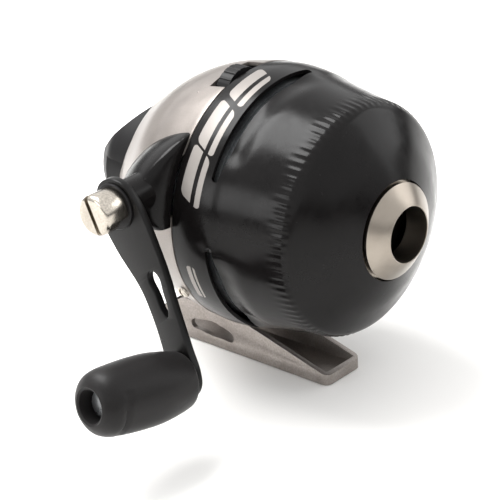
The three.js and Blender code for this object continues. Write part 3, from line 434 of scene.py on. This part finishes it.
# ---- Front cover ---------------------------------------------------------------------------------
# A gloss black moulding that twists off: a wide band at the seam, three long slots at the step in
# front of it, a barrel, a row of short grip ribs behind a sharp shoulder, and a shallow nose cone.
BARREL_SHAPE = [
    (6.7, 32.35), (11.4, 32.7), (16.8, 32.2), (20, 31.4), (24, 30.65), (29, 29.85), (34, 29.1),
    (37.6, 28.45)]
CONE_SHAPE = [(38.6, 27.95), (39.6, 27), (42.2, 23), (45, 18.5), (47.9, 12.3)]
FRONT_FACETS = 540
SLOTS = [(30, 102), (-57, -2), (182, 237)]
RIBS = 90
RIB_HEIGHT = 0.2
RIB_X = (33, 38.3)
RIB_RISE = (32.6, 36.6)  # a rib fades in from the barrel and ends short of the shoulder
RIB_FALL = (37.3, 38.2)
LIP_DEPTH = 1.3
LIP_X = (17, 25)
LIP_FALL = (18.4, 25)
LIP_TAPER = 14  # degrees at each end of a slot
SLOT_X = (16.6, 18.4)
SLOT_R = (27, 36)  # the slots' tool reaches from inside the wall to outside it
SLOT_MIDDLE_R = 31.5

front_line = [(SEAM_X, 32.1), *smooth(BARREL_SHAPE, 4), *smooth(CONE_SHAPE, 3)]
front_cover = turned("front_cover_shell", walled(front_line, COVER_WALL), FRONT_FACETS)


def around(point):
    """A point's angle about the spool line in degrees, from the crank side upwards, and its radius."""
    y, z = point.y / MM, point.z / MM - SPOOL_LINE
    return math.degrees(math.atan2(z, -y)) % 360, math.hypot(y, z)


def raised(piece, name, height, share, inside=False):
    """Lifts the outer or the inner face of a shell by a height in mm, times the share that a function
    gives each point."""
    group = piece.vertex_groups.new(name=name)
    for vertex in piece.data.vertices:
        out = Vector((0, vertex.co.y, vertex.co.z - SPOOL_LINE * MM))
        amount = share(vertex.co)
        if amount > 0.001 and (vertex.normal.dot(out) < 0) == inside:
            group.add([vertex.index], amount, "REPLACE")
    lift = piece.modifiers.new(name, "DISPLACE")
    lift.vertex_group = name
    lift.strength = height * MM
    lift.mid_level = 0
    apply(piece, lift)
    piece.vertex_groups.remove(piece.vertex_groups[name])


def fade(value, start, end):
    """From 0 at start to 1 at end, eased."""
    t = min(max((value - start) / (end - start), 0), 1)
    return t * t * (3 - 2 * t)


def rib_share(point):
    """How far each place is on the ridge of a grip rib, fading in from the barrel."""
    angle, radius = around(point)
    x = point.x / MM
    if radius < 28 or x < RIB_X[0] or x > RIB_X[1]:
        return 0
    ridge = 0.5 + 0.5 * math.cos(math.radians(angle * RIBS))
    return ridge ** 1.5 * fade(x, *RIB_RISE) * (1 - fade(x, *RIB_FALL))


def lip_share(point):
    """How far the front lip of each slot is pressed in, at its middle and tapering to its ends."""
    angle, radius = around(point)
    x = point.x / MM
    if radius < 29 or not LIP_X[0] < x < LIP_X[1]:
        return 0
    most = 0
    for start, end in SLOTS:
        turn = (angle - start) % 360
        if turn < end - start:
            ends = min(turn, end - start - turn)
            most = fade(ends, 0, LIP_TAPER) * (1 - fade(x, *LIP_FALL))
    return most


raised(front_cover, "ribs", RIB_HEIGHT, rib_share)
raised(front_cover, "lips", -LIP_DEPTH, lip_share)
raised(front_cover, "lips", LIP_DEPTH, lip_share, inside=True)


def slot_tool(start, end):
    """A stretch of a wide ring between two angles about the spool line."""
    (x0, x1), (r0, r1) = SLOT_X, SLOT_R
    tool = turned("slot", [(x0, r0), (x0, r1), (x1, r1), (x1, r0), (x0, r0)], 180)
    spool_line = Matrix.Translation((0, 0, SPOOL_LINE * MM))
    for turn in (180 - start, -end):
        beyond = block("beyond", (-10, -80, SPOOL_LINE), (60, 80, SPOOL_LINE + 80))
        about_line = Matrix.Rotation(math.radians(turn), 4, "X")
        beyond.data.transform(spool_line @ about_line @ spool_line.inverted())
        carve(tool, beyond)
    return tool


def slot_end(angle):
    """A drill that points at the spool line, for the round end of a slot."""
    turn = math.radians(angle)
    bpy.ops.object.select_all(action="DESELECT")
    bpy.ops.mesh.primitive_cylinder_add(
        vertices=32, radius=0.9 * MM, depth=9 * MM, rotation=(math.pi / 2 - turn, 0, 0),
        location=(
            17.5 * MM,
            -SLOT_MIDDLE_R * MM * math.cos(turn),
            (SPOOL_LINE + SLOT_MIDDLE_R * math.sin(turn)) * MM))
    bpy.ops.object.transform_apply(location=True, rotation=True, scale=True)
    return bpy.context.object


for slot_start, slot_end_angle in SLOTS:
    carve(front_cover, slot_tool(slot_start, slot_end_angle))
    carve(front_cover, slot_end(slot_start))
    carve(front_cover, slot_end(slot_end_angle))
smooth_shaded(front_cover, 28)

# Printed on the band: three slanted silver blocks, each split into a wide and a narrow bar, and a
# small bar lower down. Places are the angle of each middle and its distance along the spool line.
PRINT_BLOCKS = [(28.5, 11.7), (51, 11.9), (75.5, 12.1)]
PRINT_HALF = (6.1, 3.1)
PRINT_CORNER = 1.3
PRINT_LEAN = 0.5
SMALL_BAR = (-20.5, 11.2)
SMALL_BAR_HALF = (5, 1.3)
SMALL_BAR_CORNER = 0.8
GAP_PLACE = 0.3  # of a bar's half height: where the line left out runs, and half its width
GAP_HALF = 0.2
PRINT_END_X = 16


def printed_marks(tree, place):
    """The mask of all that is printed, drawn on the band as if it were unrolled."""
    axes = add(tree, "SeparateXYZ", {0: place})
    rise = add(tree, "Math", {0: axes.outputs["Z"], 1: SPOOL_LINE * MM}, operation="SUBTRACT")
    side = add(tree, "Math", {0: axes.outputs["Y"], 1: -1}, operation="MULTIPLY")
    angle = add(tree, "Math", {0: rise.outputs[0], 1: side.outputs[0]}, operation="ARCTAN2")
    around_mm = add(tree, "Math", {0: angle.outputs[0], 1: COVER_R}, operation="MULTIPLY")
    along_mm = add(tree, "Math", {0: axes.outputs["X"], 1: 1 / MM}, operation="MULTIPLY")
    flat = add(tree, "CombineXYZ", {"X": around_mm.outputs[0], "Y": along_mm.outputs[0]})

    def bar(middle, half, corner, lean):
        """A mask of one rounded bar, with a thin line left out along it."""
        degrees, x = middle
        centre = (math.radians(degrees) * COVER_R, x, 0)
        local = add(tree, "VectorMath", {0: flat.outputs[0], 1: centre}, operation="SUBTRACT")
        parts = add(tree, "SeparateXYZ", {0: local.outputs[0]})
        shifted = add(tree, "Math", {
            0: parts.outputs["Y"], 1: lean, 2: parts.outputs["X"]}, operation="MULTIPLY_ADD")
        sheared = add(tree, "CombineXYZ", {"X": shifted.outputs[0], "Y": parts.outputs["Y"]})
        size = add(tree, "VectorMath", {0: sheared.outputs[0]}, operation="ABSOLUTE")
        past = add(tree, "VectorMath", {
            0: size.outputs[0], 1: (half[0] - corner, half[1] - corner, 0)}, operation="SUBTRACT")
        outside = add(tree, "VectorMath", {0: past.outputs[0], 1: (0, 0, 0)}, operation="MAXIMUM")
        reach = add(tree, "VectorMath", {0: outside.outputs[0]}, operation="LENGTH")
        inside = add(tree, "Math", {0: reach.outputs["Value"], 1: corner}, operation="LESS_THAN")
        from_gap = add(tree, "Math", {
            0: parts.outputs["Y"], 1: half[1] * GAP_PLACE}, operation="SUBTRACT")
        width = add(tree, "Math", {0: from_gap.outputs[0]}, operation="ABSOLUTE")
        beside = add(tree, "Math", {
            0: width.outputs[0], 1: half[1] * GAP_HALF}, operation="GREATER_THAN")
        both = add(tree, "Math", {0: inside.outputs[0], 1: beside.outputs[0]}, operation="MULTIPLY")
        return both.outputs[0]

    mask = bar(SMALL_BAR, SMALL_BAR_HALF, SMALL_BAR_CORNER, 0)
    for middle in PRINT_BLOCKS:
        block_mask = bar(middle, PRINT_HALF, PRINT_CORNER, PRINT_LEAN)
        mask = add(tree, "Math", {0: mask, 1: block_mask}, operation="MAXIMUM").outputs[0]
    near = add(tree, "Math", {0: axes.outputs["X"], 1: PRINT_END_X * MM}, operation="LESS_THAN")
    return add(tree, "Math", {0: mask, 1: near.outputs[0]}, operation="MULTIPLY").outputs[0]


front_cover.data.materials.append(gloss_moulding("gloss_black_printed", printed_marks))
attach(front_cover, "cover")
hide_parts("front_cover")

# ---- Line guide ring -----------------------------------------------------------------------------
# A turned brass ring, satin nickel plated, crimped into the nose. The line runs over its round lip.
RING_SHAPE = [
    (48.6, 11.75), (50.2, 9.6), (51.4, 7.95), (51.8, 7.35), (51.98, 7.05), (51.9, 6.85), (51.6, 6.8),
    (49, 6.7), (46, 6.55), (46, 12.7), (46.35, 12.7), (46.5, 11.2), (48.1, 11.3), (48.4, 11.72),
    (48.6, 11.75)]
ring = turned("line_guide", RING_SHAPE, 160)
smooth_shaded(ring, 24)
# Satin nickel over brass: a warm grey metal with the turning marks still in it, 0.3 mm apart.
nickel_ring, tree, shader = blank("satin_nickel_turned", 1, 0.3)
place = add(tree, "TexCoord").outputs["Object"]
centred = add(tree, "Mapping", {"Vector": place, "Location": (0, 0, -SPOOL_LINE * MM)})
rings = add(tree, "TexWave", {
    "Vector": centred.outputs[0], "Scale": 1 / (6 * MM), "Distortion": 0.4, "Detail": 2},
    wave_type="RINGS", rings_direction="X")
cloud = add(tree, "TexNoise", {"Vector": place, "Scale": 1 / (6 * MM), "Detail": 3})
tone = add(tree, "Mix", {
    "Factor": cloud.outputs["Fac"], "A": linear("7F776E"), "B": linear("A39B91")}, data_type="RGBA")
marks = add(tree, "Bump", {"Height": rings.outputs["Fac"], "Strength": 0.6, "Distance": 0.006 * MM})
tree.links.new(tone.outputs["Result"], shader.inputs["Base Color"])
tree.links.new(marks.outputs[0], shader.inputs["Normal"])
ring.data.materials.append(nickel_ring)
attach(ring, "cover")
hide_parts("line_guide_ring")

# ---- Thumb button --------------------------------------------------------------------------------
# A black moulded cap that fills the rear opening, with a steep pad for the thumb. Its lower half is
# narrower, to slide inside the rear cover.
BUTTON_SHAPE = [
    (-20.6, 16.9), (-24, 16.6), (-28, 16.1), (-32, 15.4), (-35, 13.3), (-37.5, 11.2), (-39.4, 7.3),
    (-40.5, 3.5), (-40.97, 1.3), (-40.97, 0.3)]
NARROW_R = 14.6
BUTTON_STEP = SPOOL_LINE + 5
PAD_SLOPE = 46.6
PAD_X = -21
PAD_TOP = 21.8
button = turned("thumb_cap", smooth(BUTTON_SHAPE, 3), 128)
carve(button, block("lower_half", (-50, -30, -30), (0, 30, BUTTON_STEP)))
narrow_shape = [(x, min(r, NARROW_R)) for x, r in smooth(BUTTON_SHAPE, 3)]
carve(button, turned("narrow_cap", narrow_shape, 128), "UNION")
pad = block("pad", (-60, -20, 0), (40, 20, 40))
pad.data.transform(Matrix.Translation(Vector((PAD_X, 0, SPOOL_LINE + PAD_TOP)) * MM)
                   @ Matrix.Rotation(math.radians(-PAD_SLOPE), 4, "Y"))
carve(button, pad)
round_edges(button, 0.9, 4, 25)
smooth_shaded(button, 40)
# Matt ABS from a spark-eroded tool: a fine even grain.
matt_moulding = grained("matt_black_moulding", "100F10", "181718", 0, 0.42, 0.35, 0.01, IOR=1.28)
button.data.materials.append(matt_moulding)
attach(button, "button")
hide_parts("thumb_button")

# ---- Drag dial and cover screws ------------------------------------------------------------------
# The dial is a notched black wheel that stands out of the rear cover. The two screws and the spacer
# behind the crank arm are bright nickel.
coat("drag_dial", matt_moulding)
# Bright nickel: a clear warm mirror with a little haze.
bright_nickel = grained("bright_nickel_plate", "A39C92", "C9C2B7", 1, 0.2, 0.5, 0.002)
for bright_node in ("cover_screw_crank_side", "cover_screw_far_side", "arm_spacer"):
    coat(bright_node, bright_nickel)

# ---- Crank arm -----------------------------------------------------------------------------------
# Stamped steel strip, 2 mm thick, painted black: a round head on the crankshaft, a drop shaped
# window, and a bend outwards to the knob. It is drawn hanging down, then leaned forward.
ARM_BACK_Y = -41.5
ARM_T = 2
ARM_LEAN = 30.8
ARM_BEND = 20
ARM_TILT = 10.5
ARM_REACH = 43.5
ARM_EDGE = 0.35
ARM_OUTLINE = [
    (0, 6.6), (4.7, 4.7), (6.75, 0), (6.8, -6.5), (5.9, -14), (4.9, -21), (4.55, -30), (4.6, -38),
    (4.6, -43.5), (3.25, -46.75), (0, -48.1), (-3.25, -46.75), (-4.6, -43.5), (-4.4, -38), (-4.1, -31),
    (-4.6, -24), (-5.7, -17), (-7.1, -9), (-7.2, -3), (-6.1, 2), (-4, 5.2)]
WINDOW_OUTLINE = [
    (-1.2, -18.3), (0.7, -16.9), (2.6, -18.2), (2.6, -23), (2.1, -28), (1, -29.2), (0, -28.2),
    (-0.9, -23)]
BEND_STEPS = 6  # cuts across the bend, 1 mm apart


def shrunk(loop, by, middle):
    """An outline moved towards a middle line, so that its rounding ends where it was drawn."""
    shrunk_loop = []
    for x, z in loop:
        level = max(min(z, 0), -ARM_REACH)
        ray = Vector((x, z)) - Vector((middle, level))
        ray = ray.normalized() * (ray.length - by)
        shrunk_loop.append((middle + ray.x, level + ray.y))
    return shrunk_loop


arm_loops = [shrunk(ARM_OUTLINE, ARM_EDGE, 0), WINDOW_OUTLINE]
arm = outlined("arm_strip", arm_loops, ARM_T / 2 - ARM_EDGE, ARM_EDGE, 2, 6)
only(arm)
bpy.ops.object.mode_set(mode="EDIT")
for step in range(BEND_STEPS):
    level = (-ARM_BEND - 2.5 + step) * MM
    bpy.ops.mesh.select_all(action="SELECT")
    bpy.ops.mesh.bisect(plane_co=(0, 0, level), plane_no=(0, 0, 1))
for step in range(BEND_STEPS):
    level = -ARM_BEND + 2.5 - step
    bpy.ops.object.mode_set(mode="OBJECT")
    turn = (Matrix.Translation((0, 0, level * MM))
            @ Matrix.Rotation(math.radians(-ARM_TILT / BEND_STEPS), 4, "X")
            @ Matrix.Translation((0, 0, -level * MM)))
    for vertex in arm.data.vertices:
        if vertex.co.z < (level + 0.01) * MM:
            vertex.co = turn @ vertex.co
    bpy.ops.object.mode_set(mode="EDIT")
bpy.ops.object.mode_set(mode="OBJECT")
crank_middle = Vector((0, ARM_BACK_Y - ARM_T / 2, crank_line)) * MM
lean = Matrix.Rotation(math.radians(-ARM_LEAN), 4, "Y")
arm.data.transform(Matrix.Translation(crank_middle) @ lean)
smooth_shaded(arm, 30)
# Black electro-coat on steel: an even satin film, a little thin and brighter on the edges.
arm_paint = grained("black_electrocoat", "0C0B0B", "121111", 0, 0.3, 0.6, 0.004, IOR=1.28)
arm.data.materials.append(arm_paint)
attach(arm, "crank")
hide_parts("crank_arm")

# ---- Crank nut and washer ------------------------------------------------------------------------
# A long domed nut in bright nickel with a wide screwdriver slot, on a plain washer.
NUT_FACE_Y = -51.1
NUT_SHAPE = [
    (-44.35, 1.65), (-44.35, 4.9), (-44.6, 5), (-49.9, 5), (-50.5, 4.85), (-50.9, 4.5), (-51.08, 4),
    (NUT_FACE_Y, 3.4), (NUT_FACE_Y, 0.3)]
DRIVER_LEAN = 24
DRIVER_HALF_W = 0.6
DRIVER_DEPTH = 1.3
SPANNER_FLAT_LEAN = 50
WASHER_SHAPE = [
    (-44.25, 2.8), (-44.25, 5.5), (-44.05, 5.68), (-43.7, 5.68), (-43.55, 5.5), (-43.55, 2.8),
    (-44.25, 2.8)]
nut = turned("domed_nut", NUT_SHAPE, 96, "Y", (0, 0, crank_line))
on_crank_line = Matrix.Translation((0, 0, crank_line * MM))
driver_slot = block(
    "driver_slot", (-DRIVER_HALF_W, NUT_FACE_Y - 1, -10), (DRIVER_HALF_W, NUT_FACE_Y + DRIVER_DEPTH, 10))
driver_slot.data.transform(on_crank_line @ Matrix.Rotation(math.radians(-DRIVER_LEAN), 4, "Y"))
carve(nut, driver_slot)
spanner_flat = block("spanner_flat", (3.9, -47, -4), (8, -44.2, 4))
spanner_flat.data.transform(
    on_crank_line @ Matrix.Rotation(math.radians(SPANNER_FLAT_LEAN), 4, "Y"))
carve(nut, spanner_flat)
round_edges(nut, 0.16, 2, 40)
smooth_shaded(nut, 30)
nut.data.materials.append(bright_nickel)
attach(nut, "crank")
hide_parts("crank_nut")

washer = turned("nut_washer", WASHER_SHAPE, 96, "Y", (0, 0, crank_line))
smooth_shaded(washer, 30)
washer.data.materials.append(matt_moulding)
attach(washer, "crank")
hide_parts("arm_washer")

# ---- Knob ----------------------------------------------------------------------------------------
# Soft touch moulding, waisted for the fingers, free to spin on its pin. The outer end is cupped
# round the pin's head, and a sweeping groove runs round the outer third.
KNOB_START = -1.6
KNOB_SHAPE = [
    (0, 2.1), (0, 5.9), (0.35, 6.5), (1.2, 6.95), (4.7, 7.75), (9.4, 8.4), (14.4, 8.5), (18.8, 8.33),
    (23, 8), (25.6, 7.2), (27.1, 5.7), (27.6, 4.6), (27.3, 4.05), (26.4, 3.85), (22.7, 3.7),
    (22.7, 2.1), (0, 2.1)]
GROOVE_DEPTH = 0.35
GROOVE_MIDDLE = 20.5  # from the arm's end of the grip, and how far it sweeps to each side
GROOVE_SWEEP = 2.6
knob_profile = [(KNOB_START - along, r) for along, r in KNOB_SHAPE]
knob_profile = knob_profile[:2] + smooth(knob_profile[2:12], 4) + knob_profile[12:]
knob = turned("crank_knob_grip", knob_profile, 128, "Y", (0, 0, 0))


def sweep_share(point):
    """A groove that runs across the grip at a slant."""
    angle = math.atan2(point.z, point.x)
    along = KNOB_START - point.y / MM
    if not 9 < along < 27 or math.hypot(point.x, point.z) < 6.4 * MM:
        return 0
    middle = GROOVE_MIDDLE + GROOVE_SWEEP * math.cos(angle + 0.9)
    return (1 - fade(abs(along - middle), 0.1, 0.75)) * fade(math.cos(angle - 0.6), -0.9, -0.2)


raised(knob, "sweep", -GROOVE_DEPTH, sweep_share)
smooth_shaded(knob, 40)
to_knob = (Matrix.Translation(crank_middle) @ lean
           @ Matrix.Translation((0, 0, -ARM_BEND * MM))
           @ Matrix.Rotation(math.radians(-ARM_TILT), 4, "X")
           @ Matrix.Translation((0, 0, (ARM_BEND - ARM_REACH) * MM)))
knob.data.transform(to_knob)
soft_touch = grained(
    "soft_touch_elastomer", "100E0E", "191717", 0, 0.45, 0.3, 0.012, IOR=1.28, Sheen_Weight=0.03)
knob.data.materials.append(soft_touch)
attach(knob, "crank_knob")
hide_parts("knob")

# ---- Foot ----------------------------------------------------------------------------------------
# A pressed and tumbled trough that goes into the rod's reel seat: a flat sole, walls that taper to
# both ends, a long window in each wall, and a raised web with the two screws into the frame.
FOOT_HALF = 30
FOOT_HALF_W = 6.6
FOOT_TOP = 10.9
FOOT_WALL = 1.3
SOLE_T = 1.2
WEB_X = (-17.5, 5)
WEB_T = 1.8
# The top is cut along three planes, each by a point in it and the way it faces
SLOPES = [
    ((WEB_X[1], 0, FOOT_TOP - 1.6), (6.1, 0, 25)),
    ((-1, 0, FOOT_TOP), (1.6, 0, 6)),
    ((WEB_X[0], 0, FOOT_TOP), (-7.7, 0, 12.5))]
FOOT_WINDOW = [(-15.2, 4.4), (-11, 6.4), (-5.5, 6.5), (-0.6, 3.6), (-5, 2.8), (-11, 3)]
foot = block("foot_trough", (-FOOT_HALF, -FOOT_HALF_W, 0), (FOOT_HALF, FOOT_HALF_W, FOOT_TOP))
only(foot)
bpy.ops.object.mode_set(mode="EDIT")
bpy.ops.mesh.select_mode(type="EDGE")
bpy.ops.mesh.select_all(action="DESELECT")
bpy.ops.object.mode_set(mode="OBJECT")
for edge in foot.data.edges:
    first, second = (foot.data.vertices[v].co for v in edge.vertices)
    edge.select = abs(first.z - second.z) > MM
bpy.ops.object.mode_set(mode="EDIT")
bpy.ops.mesh.bevel(offset=2 * MM, segments=5, affect="EDGES")
for point, slope in SLOPES:
    bpy.ops.mesh.select_all(action="SELECT")
    bpy.ops.mesh.bisect(
        plane_co=Vector(point) * MM, plane_no=Vector(slope).normalized(), use_fill=True, clear_outer=True)
bpy.ops.object.mode_set(mode="OBJECT")
for tray, x0, x1, top in (
        ("front_tray", WEB_X[1], FOOT_HALF - FOOT_WALL, 20),
        ("under_web", WEB_X[0], WEB_X[1] + 0.01, FOOT_TOP - WEB_T),
        ("rear_tray", FOOT_WALL - FOOT_HALF, WEB_X[0] + 0.01, 20)):
    carve(foot, block(tray, (x0, FOOT_WALL - FOOT_HALF_W, SOLE_T), (x1, FOOT_HALF_W - FOOT_WALL, top)))
carve(foot, outlined("foot_window", [FOOT_WINDOW], 20, 0.01, 0, 6))
round_edges(foot, 0.3, 3, 28)
smooth_shaded(foot, 35)
# Tumbled zinc alloy: a soft grey sheen, slightly brighter on the edges.
tumbled = grained("tumbled_alloy", "837C77", "A39C97", 0.8, 0.4, 0.4, 0.006)
foot.data.materials.append(tumbled)
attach(foot, "reel_body")
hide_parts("foot")

# ---- Floor, light and camera ---------------------------------------------------------------------
# A pale seamless sweep, one broad soft light over the back of the reel, one beside the crank, and a
# low fill from the nose side, in a wide even sky. Lights and the camera are placed in metres.
AIM = Vector((0.01, -0.01, 0.045))
CAMERA_AT = (0.3529, -0.3741, 0.2696)
CAMERA_RIGHT = Vector((0.7464, 0.6627, -0.0610))
CAMERA_UP = Vector((-0.2432, 0.3568, 0.9019))
CAMERA_LENS = 163.8
bpy.ops.object.select_all(action="DESELECT")
bpy.ops.mesh.primitive_plane_add(size=6, location=(0, 0, -0.3 * MM))
floor = bpy.context.object
floor.name = "floor"
pale, tree, shader = blank("pale_sweep", 0, 0.9)
shader.inputs["Base Color"].default_value = linear("F4F3F1")
floor.data.materials.append(pale)


def softbox(name, direction, distance, size, power):
    """A square soft light that looks at the reel from a direction."""
    lamp = bpy.data.lights.new(name, "AREA")
    lamp.size = size
    lamp.energy = power
    light = bpy.data.objects.new(name, lamp)
    bpy.context.scene.collection.objects.link(light)
    way = Vector(direction).normalized()
    light.location = AIM + way * distance
    light.rotation_euler = way.to_track_quat("Z", "Y").to_euler()


softbox("overhead_box", (-0.47, -0.1, 0.88), 0.8, 0.5, 9)
softbox("crank_side_box", (-0.35, -1, 0.3), 0.9, 0.3, 1.2)
softbox("nose_fill", (0.6, 1, 0.5), 1.1, 0.6, 2)
sky = bpy.data.lights.new("wide_sky", "SUN")
sky.energy = 3.2
sky.angle = math.radians(160)
sky_light = bpy.data.objects.new("wide_sky", sky)
bpy.context.scene.collection.objects.link(sky_light)

world = bpy.data.worlds.new("studio")
world.use_nodes = True
world.node_tree.nodes["Background"].inputs["Color"].default_value = linear("F2F2F2")
world.node_tree.nodes["Background"].inputs["Strength"].default_value = 0.25
bpy.context.scene.world = world
bpy.context.scene.view_settings.view_transform = "Standard"

camera = bpy.data.objects.new("camera", bpy.data.cameras.new("camera"))
bpy.context.scene.collection.objects.link(camera)
camera.data.lens = CAMERA_LENS
camera.data.sensor_width = 36
camera.data.clip_start = 0.01
back = CAMERA_RIGHT.cross(CAMERA_UP)
turn = Matrix((CAMERA_RIGHT, CAMERA_UP, back)).transposed().to_4x4()
camera.matrix_world = Matrix.Translation(CAMERA_AT) @ turn
bpy.context.scene.camera = camera
